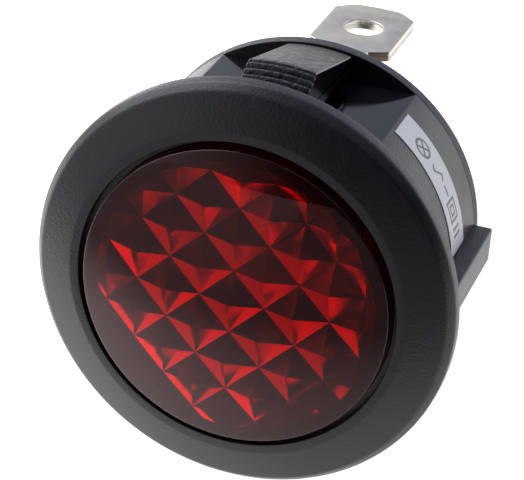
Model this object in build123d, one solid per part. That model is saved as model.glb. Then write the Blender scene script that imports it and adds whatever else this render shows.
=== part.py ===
from build123d import *
import math
import os

# Round snap-in indicator lamp for a 25.2 mm panel hole. Millimetres, +Z up.
# The axis of the lamp is Y: the lens faces -Y and the terminals leave towards +Y.
# The origin is on the axis, in the plane of the bezel's rear face, which seats on the panel.

# ---- Driving dimensions -------------------------------------------------------------------

# Bezel: a shallow cone from the rim up to a flat ring round the lens.
BEZEL_R = 15.0
BEZEL_HEIGHT = 2.55
RIM_HEIGHT = 1.0
RIM_ROUND = 0.6
RIM_REAR_BREAK = 0.12
FLAT_RING_R = 12.0

# Barrel behind the panel, with a flat at the top and bottom and an end disc at the rear.
BARREL_R = 12.55
BARREL_DEPTH = 13.9
FLAT_Z = 10.3
DISC_R = 12.65
DISC_THICKNESS = 0.85
REAR_WALL = 1.5
CAVITY_R = 9.6
CAVITY_HALF_HEIGHT = 9.1

# Anti-rotation ribs at the two sides.
RIB_TOP_X = 13.85
RIB_WIDTH = 2.6

# Lens: a domed cup with pyramid pits in its inner face.
LENS_R = 10.9
LENS_PROUD = 0.3
LENS_DOME = 1.6
LENS_EDGE_ROUND = 0.18
LENS_SKIRT_WALL = 1.05
LENS_FACE_DEPTH = 0.7
LENS_GAP = 0.45
PIT_PITCH = 3.17
PIT_DEPTH = 1.0
PIT_WALL_LEFT = 0.3
LENS_SEAT_Y = -0.7
LENS_FIT = 0.05
BEAD_HEIGHT = 0.1
BEAD_WIDTH = 0.3
BEAD_ROOM = 0.05

# Snap arms, one above and one below.
ARM_WIDTH = 4.8
ARM_FRONT_Y = 0.6
ARM_PEAK_Y = 3.85
ARM_PEAK_R = 14.7
ARM_FRONT_R = 12.85
ARM_ROOT_R = 12.6
ARM_UNDERSIDE_Z = 11.3
ARM_TEETH = 7
TOOTH_DEPTH = 0.16
ARM_HINGE_Y = 12.35

# Pocket under each arm, sunk into the barrel's flat and closed off from the inside.
POCKET_WIDTH = 6.0
POCKET_FRONT_Y = 0.3
POCKET_REAR_Y = 10.6
POCKET_FLOOR_Z = 6.9
POCKET_WALL = 0.8

# Blade terminals, 6.3 x 0.8 mm.
BLADE_WIDTH = 6.3
BLADE_THICKNESS = 0.8
BLADE_FRONT_Y = 20.6
BLADE_END_Y = 28.5
BLADE_TOP_Z = 9.8
BLADE_TIP_CHAMFER = 1.1
BLADE_TIP_CROWN = 0.45
BLADE_HOLE_R = 1.5
BLADE_HOLE_TO_END = 4.35
NECK_WIDTH = 3.2
SHOULDER_DEPTH = 0.9
FOOT_END_Z = 3.6
FOOT_HOLE_R = 0.55
FOOT_HOLE_Z = 4.9
COLLAR_WIDTH = 6.0
COLLAR_HEIGHT = 3.0
COLLAR_BOTTOM_Z = 7.7

# Neon lamp, lying across the axis.
LAMP_R = 2.9
LAMP_WALL = 0.4
LAMP_LENGTH = 11.5
LAMP_Y = 4.6
LAMP_Z = 1.6
PIP_LENGTH = 1.3
PIP_R = 0.7
PINCH_LENGTH = 1.4
PINCH_WIDTH = 3.6
PINCH_THICKNESS = 1.3
ELECTRODE_R = 0.45
ELECTRODE_LENGTH = 6.0
ELECTRODE_SPACING = 1.7
LEAD_R = 0.22
LEAD_BEND_R = 0.7
LEAD_TURN_X = 8.2
LEAD_CROSS_Y = 9.8
SLEEVE_R = 0.42
SLEEVE_GAP = 0.02
SOLDER_R = 0.75

# Series resistor, parallel to the lamp and below it.
RESISTOR_R = 1.0
RESISTOR_CAP_R = 1.2
RESISTOR_LENGTH = 6.3
RESISTOR_CAP_LENGTH = 1.5
RESISTOR_Y = 7.2
RESISTOR_Z = -4.2
BAND_WIDTH = 0.45
BAND_HEIGHT = 0.03
BAND_PITCH = 0.8
BAND_COUNT = 4

# Rating label on the barrel, between the upper flat and the right-hand rib.
LABEL_THICKNESS = 0.08
LABEL_FRONT_Y = 6.85
LABEL_WIDTH = 3.15
LABEL_START_DEG = 7.0
LABEL_END_DEG = 53.5

# ---- Derived dimensions -------------------------------------------------------------------

RING_Y = -BEZEL_HEIGHT
LENS_RIM_Y = RING_Y - LENS_PROUD
LENS_TOP_Y = LENS_RIM_Y - LENS_DOME
LENS_FACE_Y = LENS_RIM_Y + LENS_FACE_DEPTH
LENS_SKIRT_R = LENS_R - LENS_SKIRT_WALL
DOME_R = (LENS_R**2 + LENS_DOME**2) / (2 * LENS_DOME)
DOME_CENTRE_Y = LENS_TOP_Y + DOME_R
BORE_FRONT_R = LENS_R + LENS_GAP
SEAT_BORE_R = LENS_R + LENS_FIT
SEAT_BORE_FRONT_Y = LENS_SEAT_Y - 0.9
BEAD_Y = LENS_SEAT_Y - 0.35
DISC_FRONT_Y = BARREL_DEPTH - DISC_THICKNESS
WALL_FRONT_Y = BARREL_DEPTH - REAR_WALL
ARM_ROOT_ROUND = (ARM_ROOT_R - ARM_UNDERSIDE_Z) / 2
ARM_HINGE_Z = ARM_UNDERSIDE_Z + ARM_ROOT_ROUND
BLADE_BOTTOM_Z = BLADE_TOP_Z - BLADE_THICKNESS
FOOT_FRONT_Y = WALL_FRONT_Y - BLADE_THICKNESS
LAMP_END_X = LAMP_LENGTH / 2
PINCH_END_X = LAMP_END_X + PINCH_LENGTH
HALF_SPACING = ELECTRODE_SPACING / 2
RESISTOR_END_X = RESISTOR_LENGTH / 2


# ---- Shapes used by several pieces ----------------------------------------------------------


def block(x, y, z):
    """A box given by its (low, high) limits along each axis."""
    size = [high - low for low, high in (x, y, z)]
    centre = [(low + high) / 2 for low, high in (x, y, z)]
    return Pos(*centre) * Box(*size)


def turned(*points):
    """A solid turned about the Y axis from (radius, y) corners."""
    return revolve(make_face(Polyline(*points, close=True)), Axis.Y)


def tube(inner_r, outer_r, front_y, rear_y):
    """A plain ring or disc about the Y axis."""
    return turned((inner_r, front_y), (outer_r, front_y), (outer_r, rear_y), (inner_r, rear_y))


def rod_x(radius, start_x, end_x, y, z):
    """A round bar along X."""
    bar = Cylinder(radius, end_x - start_x, rotation=(0, 90, 0))
    return Pos((start_x + end_x) / 2, y, z) * bar


def mirrored_down(solid):
    """The lower twin of an upper piece."""
    return mirror(solid, Plane.XY)


def wire(points, bend_r):
    """A round lead along straight runs with bends of one radius."""
    path = FilletPolyline(*points, radius=bend_r)
    section = Plane(origin=path @ 0, z_dir=path % 0) * Circle(LEAD_R)
    return sweep(section, path=path)


# ---- Pieces -------------------------------------------------------------------------------


def make_bezel():
    """The front flange: flat ring, cone and rounded rim."""
    outline = make_face(
        Polyline(
            (BORE_FRONT_R, RING_Y),
            (FLAT_RING_R, RING_Y),
            (BEZEL_R - 0.5, -RIM_HEIGHT - 0.6),
            (BEZEL_R, -RIM_HEIGHT),
            (BEZEL_R, 0),
            (BORE_FRONT_R, 0),
            close=True,
        )
    )
    rim_corners = outline.vertices().sort_by_distance((BEZEL_R, -RIM_HEIGHT))[:2]
    outline = fillet(rim_corners, RIM_ROUND)
    rear_corner = outline.vertices().sort_by_distance((BEZEL_R, 0))[0]
    outline = fillet(rear_corner, RIM_REAR_BREAK)
    return revolve(outline, Axis.Y)


def make_housing():
    """Bezel, barrel with its flats, ribs, rear wall and terminal collars, in one moulding."""
    barrel = tube(0, BARREL_R, RING_Y + 0.5, BARREL_DEPTH)
    for side in (-1, 1):
        flat_z = sorted((side * FLAT_Z, side * 2 * BARREL_R))
        barrel -= block((-BARREL_R, BARREL_R), (0, BARREL_DEPTH), flat_z)
    rear_disc = tube(0, DISC_R, DISC_FRONT_Y, BARREL_DEPTH)
    rear_disc = fillet(rear_disc.edges().sort_by(Axis.Y)[-1], 0.15)
    shell = make_bezel() + barrel + rear_disc

    for side in (-1, 1):
        rib_x = sorted((side * (BARREL_R - 0.5), side * RIB_TOP_X))
        shell += block(rib_x, (-0.2, BARREL_DEPTH), (-RIB_WIDTH / 2, RIB_WIDTH / 2))
        collar_z = sorted((side * COLLAR_BOTTOM_Z, side * FLAT_Z))
        collar_x = (-COLLAR_WIDTH / 2, COLLAR_WIDTH / 2)
        shell += block(collar_x, (BARREL_DEPTH - 0.1, BARREL_DEPTH + COLLAR_HEIGHT), collar_z)

    shell -= tube(0, BORE_FRONT_R, RING_Y - 1, SEAT_BORE_FRONT_Y)
    shell -= tube(0, SEAT_BORE_R, SEAT_BORE_FRONT_Y, LENS_SEAT_Y)
    groove_r = SEAT_BORE_R + BEAD_HEIGHT + BEAD_ROOM
    groove_half = BEAD_WIDTH / 2 + BEAD_ROOM
    shell -= tube(SEAT_BORE_R - 0.5, groove_r, BEAD_Y - groove_half, BEAD_Y + groove_half)
    cavity = tube(0, CAVITY_R, LENS_SEAT_Y, WALL_FRONT_Y)
    height = (-CAVITY_HALF_HEIGHT, CAVITY_HALF_HEIGHT)
    shell -= cavity & block((-CAVITY_R, CAVITY_R), (LENS_SEAT_Y, WALL_FRONT_Y), height)

    pocket_x = (-POCKET_WIDTH / 2, POCKET_WIDTH / 2)
    trough_x = (pocket_x[0] - POCKET_WALL, pocket_x[1] + POCKET_WALL)
    trough_y = (POCKET_FRONT_Y - POCKET_WALL, POCKET_REAR_Y + POCKET_WALL)
    slot_x = (-NECK_WIDTH / 2, NECK_WIDTH / 2)
    for side in (-1, 1):
        trough_z = sorted((side * (POCKET_FLOOR_Z - POCKET_WALL), side * (FLAT_Z - 0.5)))
        shell += block(trough_x, trough_y, trough_z)
        pocket_z = sorted((side * POCKET_FLOOR_Z, side * (FLAT_Z + 0.5)))
        shell -= block(pocket_x, (POCKET_FRONT_Y, POCKET_REAR_Y), pocket_z)
        slot_z = sorted((side * BLADE_BOTTOM_Z, side * BLADE_TOP_Z))
        shell -= block(slot_x, (trough_y[1], BARREL_DEPTH + COLLAR_HEIGHT), slot_z)
    return shell


def make_arm():
    """The upper snap arm: a ramp that rises to the front, then a toothed face that grips the panel."""
    profile = [(ARM_ROOT_R, ARM_HINGE_Y), (ARM_PEAK_R, ARM_PEAK_Y)]
    run_y = (ARM_PEAK_Y - ARM_FRONT_Y) / ARM_TEETH
    drop_r = (ARM_PEAK_R - ARM_FRONT_R) / ARM_TEETH
    for tooth in range(ARM_TEETH):
        crest_y = ARM_PEAK_Y - tooth * run_y
        crest_r = ARM_PEAK_R - tooth * drop_r
        profile.append((crest_r - drop_r * 0.2, crest_y - run_y * 0.45))
        profile.append((crest_r - drop_r - TOOTH_DEPTH, crest_y - run_y * 0.75))
        profile.append((crest_r - drop_r, crest_y - run_y))
    profile += [(ARM_FRONT_R - 0.2, ARM_FRONT_Y), (8, ARM_FRONT_Y), (8, ARM_HINGE_Y)]
    ramp = turned(*profile)
    width = (-ARM_WIDTH / 2, ARM_WIDTH / 2)
    ramp &= block(width, (ARM_FRONT_Y - 1, ARM_HINGE_Y), (ARM_UNDERSIDE_Z, ARM_PEAK_R + 1))
    root = Pos(0, ARM_HINGE_Y, ARM_HINGE_Z) * Cylinder(
        ARM_ROOT_ROUND, ARM_WIDTH, rotation=(0, 90, 0)
    )
    return ramp + root


def make_lens():
    """The domed cup, less its pattern of square pyramid pits."""
    dome_edge = (LENS_R, LENS_RIM_Y)
    halfway = (LENS_R / 2, DOME_CENTRE_Y - math.sqrt(DOME_R**2 - (LENS_R / 2) ** 2))
    dome = ThreePointArc((0, LENS_TOP_Y), halfway, dome_edge)
    bead_y = (BEAD_Y - BEAD_WIDTH / 2, BEAD_Y + BEAD_WIDTH / 2)
    side = Polyline(
        dome_edge,
        (LENS_R, bead_y[0]),
        (SEAT_BORE_R + BEAD_HEIGHT, BEAD_Y),
        (LENS_R, bead_y[1]),
        (LENS_R, LENS_SEAT_Y),
        (LENS_SKIRT_R, LENS_SEAT_Y),
        (LENS_SKIRT_R, LENS_FACE_Y),
        (0, LENS_FACE_Y),
        (0, LENS_TOP_Y),
    )
    outline = make_face([dome, side])
    outline = fillet(outline.vertices().sort_by_distance(dome_edge)[0], LENS_EDGE_ROUND)
    cup = revolve(outline, Axis.Y)

    half_diagonal = PIT_PITCH / math.sqrt(2)
    reach = math.ceil(LENS_SKIRT_R / half_diagonal) + 1
    pits = []
    for row in range(-reach, reach + 1):
        for column in range(-reach, reach + 1):
            place = (column * half_diagonal, row * half_diagonal)
            in_pattern = math.hypot(*place) < LENS_SKIRT_R + PIT_PITCH / 2
            if (row + column) % 2 == 0 and in_pattern:
                pits.append(make_pit(*place))
    limit = tube(0, LENS_SKIRT_R, LENS_TOP_Y, LENS_FACE_Y)
    limit &= Pos(0, DOME_CENTRE_Y, 0) * Sphere(DOME_R - PIT_WALL_LEFT)
    return cup - (Compound(pits) & limit)


def make_pit(x, z):
    """One pyramid, its base on the lens's inner face, its corners left, right, up and down."""
    base = Plane(origin=(x, LENS_FACE_Y, z), x_dir=(1, 0, 1), z_dir=(0, -1, 0))
    sides = base * Rectangle(PIT_PITCH, PIT_PITCH)
    slope = math.degrees(math.atan(PIT_PITCH / 2 / PIT_DEPTH))
    return extrude(sides, amount=PIT_DEPTH * 0.999, taper=slope)


def make_terminal():
    """The upper blade, its neck through the rear wall, and the foot bent down behind it."""
    half = BLADE_WIDTH / 2
    neck = NECK_WIDTH / 2
    corner_y = BLADE_END_Y - BLADE_TIP_CHAMFER
    right = [
        (neck, FOOT_FRONT_Y),
        (neck, BLADE_FRONT_Y - SHOULDER_DEPTH),
        (half, BLADE_FRONT_Y),
        (half, corner_y),
        (half - BLADE_TIP_CHAMFER, BLADE_END_Y - BLADE_TIP_CROWN),
        (0, BLADE_END_Y),
    ]
    left = [(-x, y) for x, y in reversed(right[:-1])]
    flat = Pos(0, 0, BLADE_BOTTOM_Z) * make_face(Polyline(*right, *left, close=True))
    strip = extrude(flat, amount=BLADE_THICKNESS, dir=(0, 0, 1))
    strip += block((-neck, neck), (FOOT_FRONT_Y, WALL_FRONT_Y), (FOOT_END_Z, BLADE_TOP_Z))
    hole = Pos(0, BLADE_END_Y - BLADE_HOLE_TO_END, BLADE_TOP_Z) * Cylinder(BLADE_HOLE_R, 4)
    foot_hole = Pos(0, WALL_FRONT_Y, FOOT_HOLE_Z) * Cylinder(FOOT_HOLE_R, 4, rotation=(90, 0, 0))
    return strip - hole - foot_hole


def make_lamp_envelope():
    """The glass tube, closed and drawn to a pip on the left, open to its pinch on the right."""
    inner_r = LAMP_R - LAMP_WALL
    glass = rod_x(LAMP_R, -LAMP_END_X, LAMP_END_X, LAMP_Y, LAMP_Z)
    glass = fillet(glass.edges().filter_by(GeomType.CIRCLE), 1.3)
    pip = Pos(-LAMP_END_X - PIP_LENGTH / 2 + 0.2, LAMP_Y, LAMP_Z) * Cone(
        PIP_R, 0.25, PIP_LENGTH, rotation=(0, -90, 0)
    )
    space = rod_x(inner_r, LAMP_WALL - LAMP_END_X, LAMP_END_X - LAMP_WALL, LAMP_Y, LAMP_Z)
    space = fillet(space.edges().filter_by(GeomType.CIRCLE), 1.0)
    return glass + pip - space


def make_lamp_pinch():
    """The flattened glass seal that the two leads pass through."""
    seal = block(
        (LAMP_END_X, PINCH_END_X),
        (LAMP_Y - PINCH_THICKNESS / 2, LAMP_Y + PINCH_THICKNESS / 2),
        (LAMP_Z - PINCH_WIDTH / 2, LAMP_Z + PINCH_WIDTH / 2),
    )
    return fillet(seal.edges().filter_by(Axis.X), 0.4)


def make_electrode(side):
    """One nickel rod inside the lamp."""
    end_x = LAMP_END_X - LAMP_WALL
    z = LAMP_Z + side * HALF_SPACING
    return rod_x(ELECTRODE_R, end_x - ELECTRODE_LENGTH, end_x, LAMP_Y, z)


def make_resistor_body():
    """The coated body, thicker over its two end caps."""
    body = rod_x(RESISTOR_R, -RESISTOR_END_X, RESISTOR_END_X, RESISTOR_Y, RESISTOR_Z)
    for side in (-1, 1):
        start, end = sorted((side * RESISTOR_END_X, side * (RESISTOR_END_X - RESISTOR_CAP_LENGTH)))
        cap = rod_x(RESISTOR_CAP_R, start, end, RESISTOR_Y, RESISTOR_Z)
        body += fillet(cap.edges().filter_by(GeomType.CIRCLE), 0.35)
    return body


def make_resistor_bands():
    """The painted colour bands round the resistor's waist, as thin rings."""
    first_x = -(BAND_PITCH * (BAND_COUNT - 1) + BAND_WIDTH) / 2
    waist = rod_x(RESISTOR_R, -RESISTOR_END_X, RESISTOR_END_X, RESISTOR_Y, RESISTOR_Z)
    bands = []
    for band in range(BAND_COUNT):
        x = first_x + band * BAND_PITCH
        disc = rod_x(RESISTOR_R + BAND_HEIGHT, x, x + BAND_WIDTH, RESISTOR_Y, RESISTOR_Z)
        bands.append(disc - waist)
    return Compound(bands)


def make_label():
    """The printed film, wrapped round the barrel."""
    film = tube(BARREL_R, BARREL_R + LABEL_THICKNESS, LABEL_FRONT_Y, LABEL_FRONT_Y + LABEL_WIDTH)
    reach = 2 * BARREL_R
    corners = [(0, 0)]
    for degrees in (LABEL_START_DEG, (LABEL_START_DEG + LABEL_END_DEG) / 2, LABEL_END_DEG):
        angle = math.radians(degrees)
        corners.append((reach * math.cos(angle), reach * math.sin(angle)))
    wedge = Plane.XZ * make_face(Polyline(*corners, close=True))
    return film & extrude(wedge, amount=BARREL_DEPTH, both=True)


def make_sleeve(start, end):
    """An insulating sleeve over the middle of one straight run of a lead."""
    run = Vector(*end) - Vector(*start)
    plane = Plane(origin=Vector(*start) + run * 0.15, z_dir=run)
    section = plane * (Circle(SLEEVE_R) - Circle(LEAD_R + SLEEVE_GAP))
    return extrude(section, amount=run.length * 0.7)


def make_solder(place, *joined):
    """A bead of solder round the pieces that it joins."""
    bead = Pos(*place) * Sphere(SOLDER_R)
    for piece in joined:
        bead -= piece
    return bead


# ---- Assembly -----------------------------------------------------------------------------


def make_wiring(terminal_top, terminal_bottom):
    """Leads, sleeves and solder, from the upper terminal through lamp and resistor to the lower."""
    upper_z = LAMP_Z + HALF_SPACING
    lower_z = LAMP_Z - HALF_SPACING
    upper_run = ((LEAD_TURN_X, LEAD_CROSS_Y, upper_z + 1), (0, LEAD_CROSS_Y, FOOT_HOLE_Z))
    lower_run = ((LEAD_TURN_X, LAMP_Y, lower_z), (LEAD_TURN_X, RESISTOR_Y, RESISTOR_Z))
    splice = (RESISTOR_END_X + 3.2, RESISTOR_Y, RESISTOR_Z)
    left_x = -RESISTOR_END_X - 2.6

    lead_upper = wire(
        [
            (PINCH_END_X, LAMP_Y, upper_z),
            (LEAD_TURN_X, LAMP_Y, upper_z),
            *upper_run,
            (0, FOOT_FRONT_Y, FOOT_HOLE_Z),
        ],
        LEAD_BEND_R,
    )
    lead_lower = wire([(PINCH_END_X, LAMP_Y, lower_z), *lower_run, splice], LEAD_BEND_R)
    lead_left = wire(
        [
            (-RESISTOR_END_X, RESISTOR_Y, RESISTOR_Z),
            (left_x, RESISTOR_Y, RESISTOR_Z),
            (left_x, LEAD_CROSS_Y, RESISTOR_Z - 0.6),
            (0, LEAD_CROSS_Y, -FOOT_HOLE_Z),
            (0, FOOT_FRONT_Y, -FOOT_HOLE_Z),
        ],
        LEAD_BEND_R,
    )
    lead_right = rod_x(LEAD_R, RESISTOR_END_X, splice[0], RESISTOR_Y, RESISTOR_Z)
    solder_y = FOOT_FRONT_Y - SOLDER_R / 3
    return {
        "lamp_lead_upper": lead_upper,
        "lamp_lead_lower": lead_lower,
        "resistor_lead_left": lead_left,
        "resistor_lead_right": lead_right,
        "sleeve_upper": make_sleeve(*upper_run),
        "sleeve_lower": make_sleeve(*lower_run),
        "solder_top": make_solder((0, solder_y, FOOT_HOLE_Z), lead_upper, terminal_top),
        "solder_bottom": make_solder((0, solder_y, -FOOT_HOLE_Z), lead_left, terminal_bottom),
        "splice_solder": make_solder(splice, lead_lower, lead_right),
    }


def make_all():
    """Every node of the lamp, by name."""
    arm = make_arm()
    terminal = make_terminal()
    terminal_bottom = mirrored_down(terminal)
    return {
        "housing": make_housing(),
        "lens": make_lens(),
        "snap_arm_top": arm,
        "snap_arm_bottom": mirrored_down(arm),
        "terminal_top": terminal,
        "terminal_bottom": terminal_bottom,
        "lamp_envelope": make_lamp_envelope(),
        "lamp_pinch": make_lamp_pinch(),
        "electrode_upper": make_electrode(1),
        "electrode_lower": make_electrode(-1),
        "resistor_body": make_resistor_body(),
        "resistor_bands": make_resistor_bands(),
        "rating_label": make_label(),
        **make_wiring(terminal, terminal_bottom),
    }


os.makedirs("parts", exist_ok=True)
for node, solid in make_all().items():
    export_step(solid, f"parts/{node}.step")
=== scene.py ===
import math

import bmesh
import bpy
from mathutils import Euler, Matrix, Vector


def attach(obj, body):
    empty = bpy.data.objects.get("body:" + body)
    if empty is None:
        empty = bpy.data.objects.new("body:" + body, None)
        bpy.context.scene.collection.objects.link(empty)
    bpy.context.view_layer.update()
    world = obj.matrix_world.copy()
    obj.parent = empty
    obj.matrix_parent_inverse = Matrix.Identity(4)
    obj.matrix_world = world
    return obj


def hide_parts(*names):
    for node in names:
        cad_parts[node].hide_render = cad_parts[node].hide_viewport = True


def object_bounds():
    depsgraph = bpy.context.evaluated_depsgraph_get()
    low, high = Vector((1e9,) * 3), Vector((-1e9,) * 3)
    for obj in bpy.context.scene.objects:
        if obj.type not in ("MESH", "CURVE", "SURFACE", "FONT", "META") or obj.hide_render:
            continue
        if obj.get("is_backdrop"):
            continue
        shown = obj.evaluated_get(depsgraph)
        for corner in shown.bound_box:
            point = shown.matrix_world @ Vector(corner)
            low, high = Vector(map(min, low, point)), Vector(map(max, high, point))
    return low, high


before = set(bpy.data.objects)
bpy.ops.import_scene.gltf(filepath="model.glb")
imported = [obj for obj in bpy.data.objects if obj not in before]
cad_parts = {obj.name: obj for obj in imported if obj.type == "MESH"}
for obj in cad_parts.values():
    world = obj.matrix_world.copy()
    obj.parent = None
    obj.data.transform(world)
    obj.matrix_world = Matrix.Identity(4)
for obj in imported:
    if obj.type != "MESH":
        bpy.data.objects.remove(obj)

cad_low, cad_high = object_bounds()
MM = 0.001

# ---- View and studio ------------------------------------------------------------------------
# The lamp rests on its bezel's rim on a white sheet, seen from the front right and from above.
# One soft box stands to the left. The room is pale to the left, behind and overhead. The sheet
# glows, most to the left, and shades to grey in front of the lamp.

VIEW_AZIMUTH = 16.8
VIEW_ELEVATION = 27.74
VIEW_ROLL = 5.02
VIEW_DISTANCE = 161.2 * MM
VIEW_CENTRE = Vector((0.38, 1.53, 2.55)) * MM
SENSOR_WIDTH = 36
FOCAL_LENGTH = 162.5
NEAR_CLIP = 5 * MM

camera_data = bpy.data.cameras.new("camera")
camera_data.sensor_width = SENSOR_WIDTH
camera_data.lens = FOCAL_LENGTH
camera_data.clip_start = NEAR_CLIP
camera = bpy.data.objects.new("camera", camera_data)
bpy.context.scene.collection.objects.link(camera)
turn = Euler((math.radians(90 - VIEW_ELEVATION), 0, math.radians(VIEW_AZIMUTH))).to_matrix()
turn = turn @ Matrix.Rotation(math.radians(VIEW_ROLL), 3, "Z")
camera.matrix_world = Matrix.Translation(VIEW_CENTRE) @ turn.to_4x4()
camera.matrix_world @= Matrix.Translation((0, 0, VIEW_DISTANCE))
bpy.context.scene.camera = camera
bpy.context.scene.view_settings.view_transform = "Standard"

SHEET_HALF = 1.5
sheet_mesh = bpy.data.meshes.new("sheet")
sheet_corners = [(-SHEET_HALF, -SHEET_HALF), (SHEET_HALF, -SHEET_HALF)]
sheet_corners += [(SHEET_HALF, SHEET_HALF), (-SHEET_HALF, SHEET_HALF)]
sheet_mesh.from_pydata([(x, y, cad_low.z) for x, y in sheet_corners], [], [(0, 1, 2, 3)])
sheet = bpy.data.objects.new("white_sheet", sheet_mesh)
bpy.context.scene.collection.objects.link(sheet)
sheet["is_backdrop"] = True

KEY_PLACE = Vector((-0.38, 0.12, 0.36))
KEY_WIDTH = 0.55
KEY_POWER = 2.0
key_data = bpy.data.lights.new("key_box", "AREA")
key_data.shape = "SQUARE"
key_data.size = KEY_WIDTH
key_data.energy = KEY_POWER
key_box = bpy.data.objects.new("key_box", key_data)
bpy.context.scene.collection.objects.link(key_box)
key_box.location = KEY_PLACE
key_box.visible_camera = False
key_box.rotation_euler = (-KEY_PLACE).to_track_quat("-Z", "Y").to_euler()


class Wire:
    """One socket of a material's nodes. A sum on it adds the Math node for that sum."""

    def __init__(self, tree, socket=None):
        self.tree = tree
        self.socket = socket

    def make(self, kind, settings, sockets, out=0):
        """Adds a node: its settings first, then the values or links of its sockets."""
        node = self.tree.nodes.new("ShaderNode" + kind)
        for name, value in settings.items():
            setattr(node, name, value)
        for name, value in sockets.items():
            if isinstance(value, Wire):
                self.tree.links.new(value.socket, node.inputs[name])
            else:
                node.inputs[name].default_value = value
        return Wire(self.tree, node.outputs[out])

    def sum(self, operation, first, second):
        """One Math node on two values."""
        return self.make("Math", {"operation": operation}, {0: first, 1: second})

    def __add__(self, other):
        return self.sum("ADD", self, other)

    def __radd__(self, other):
        return self.sum("ADD", other, self)

    def __sub__(self, other):
        return self.sum("SUBTRACT", self, other)

    def __rsub__(self, other):
        return self.sum("SUBTRACT", other, self)

    def __mul__(self, other):
        return self.sum("MULTIPLY", self, other)

    def __rmul__(self, other):
        return self.sum("MULTIPLY", other, self)

    def __abs__(self):
        return self.make("Math", {"operation": "ABSOLUTE"}, {0: self})


SHEET_GREY = 0.07
GLOW = 1.05
GLOW_LEFT = 1.25
LEFT_FROM, LEFT_TO = -10 * MM, 30 * MM
FRONT_SHADE = 0.79
SHADE_FROM, SHADE_TO = 4 * MM, 32 * MM
sheet_material = bpy.data.materials.new("light_sheet")
sheet_material.use_nodes = True
sheet_mesh.materials.append(sheet_material)
sheet_inputs = sheet_material.node_tree.nodes["Principled BSDF"].inputs
sheet_inputs["Base Color"].default_value = (SHEET_GREY, SHEET_GREY, SHEET_GREY, 1)
sheet_inputs["Roughness"].default_value = 0.9
sheet_inputs["Emission Strength"].default_value = 1.0


def rise(nodes, value, low, high):
    """0 below low and 1 above high, smooth between."""
    ends = {"Value": value, "From Min": low, "From Max": high}
    return nodes.make("MapRange", {"interpolation_type": "SMOOTHSTEP"}, ends)


def blend(nodes, factor, low, high):
    """A colour between low and high; 6, 7 and 2 are the Mix node's colour sockets."""
    sockets = {0: factor, 6: low, 7: high}
    return nodes.make("Mix", {"data_type": "RGBA"}, sockets, out=2)


def split(nodes, vector):
    """The three parts of a vector."""
    parts = nodes.make("SeparateXYZ", {}, {0: vector})
    return [Wire(nodes.tree, part) for part in parts.socket.node.outputs]


paper = Wire(sheet_material.node_tree)
across, along, _ = split(paper, paper.make("TexCoord", {}, {}, out="Object"))
shade = rise(paper, 0 - along, SHADE_FROM, SHADE_TO)
lift = rise(paper, 0 - across, LEFT_FROM, LEFT_TO)
glow = (GLOW + GLOW_LEFT * lift) * (1 - FRONT_SHADE * shade)
glow_colour = blend(paper, 0.5 * glow, (0, 0, 0, 1), (2, 2, 2, 1))
sheet_material.node_tree.links.new(glow_colour.socket, sheet_inputs["Emission Color"])

SKY_DIM = 0.04
OVERHEAD = 0.3
LEFT_WALL = 0.9
REAR_WALL = 1.1
COOL_WHITE = (0.76, 0.82, 1, 1)
world = bpy.data.worlds.new("studio")
world.use_nodes = True
bpy.context.scene.world = world
sky = Wire(world.node_tree)
rightward, rearward, upward = split(sky, sky.make("TexCoord", {}, {}, out="Generated"))
left_share = rise(sky, 0 - rightward, 0.0, 0.75)
upper_dimmed = 1 - 0.45 * rise(sky, upward, 0.05, 0.6)
right_lifted = 0.62 + 0.85 * rise(sky, rightward, -0.2, 0.5)
rear_share = rise(sky, rearward, -0.2, 0.6) * upper_dimmed * right_lifted
strength = SKY_DIM + OVERHEAD * rise(sky, upward, 0.4, 0.85)
strength = strength + LEFT_WALL * left_share * (1 - rear_share) + REAR_WALL * rear_share
sky_colour = blend(sky, rise(sky, upward, 0.1, 0.5), (1, 1, 1, 1), COOL_WHITE)
background = world.node_tree.nodes["Background"].inputs
world.node_tree.links.new(sky_colour.socket, background["Color"])
world.node_tree.links.new(strength.socket, background["Strength"])

# ---- Housing: the black moulding ------------------------------------------------------------
# Bezel, barrel, rear wall, ribs and terminal collars are one shot of black nylon. The bezel is
# turned and lightly grained; the barrel's two flats are polished. The barrel is hollow, and
# a closed pocket in each flat lets the snap arm spring in.

BEZEL_R = 15.0
BEZEL_HEIGHT = 2.55
RIM_HEIGHT = 1.0
RING_R = 12.0
BORE_R = 11.35
SEAT_R = 10.95
SEAT_FRONT_Y = -1.6
SEAT_Y = -0.7
BARREL_R = 12.55
FLAT_Z = 10.3
DISC_R = 12.65
DISC_FRONT_Y = 13.05
BARREL_REAR_Y = 13.9
WALL_FRONT_Y = 12.4
CAVITY_R = 9.6
CAVITY_Z = 9.1
RIB_X = 13.85
RIB_HALF = 1.3
POCKET_HALF = 3.0
POCKET_FRONT_Y = 0.3
POCKET_REAR_Y = 10.6
POCKET_FLOOR_Z = 6.9
POCKET_WALL = 0.8
COLLAR_HALF = 3.0
COLLAR_REAR_Y = 16.9
COLLAR_BOTTOM_Z = 7.7
FLAT_EDGE_ROUND = 0.12
RIB_ROUND = 0.15
BARREL_ARC_STEPS = 40
TURN_STEPS = 256
CORNER_STEP = 12
NYLON_IOR = 1.53
NYLON_DARK = (0.004, 0.004, 0.006, 1)
NYLON_PALE = (0.009, 0.009, 0.0115, 1)
NYLON_RIM_HIGHLIGHT = (0.075, 0.075, 0.08, 1)


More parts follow.
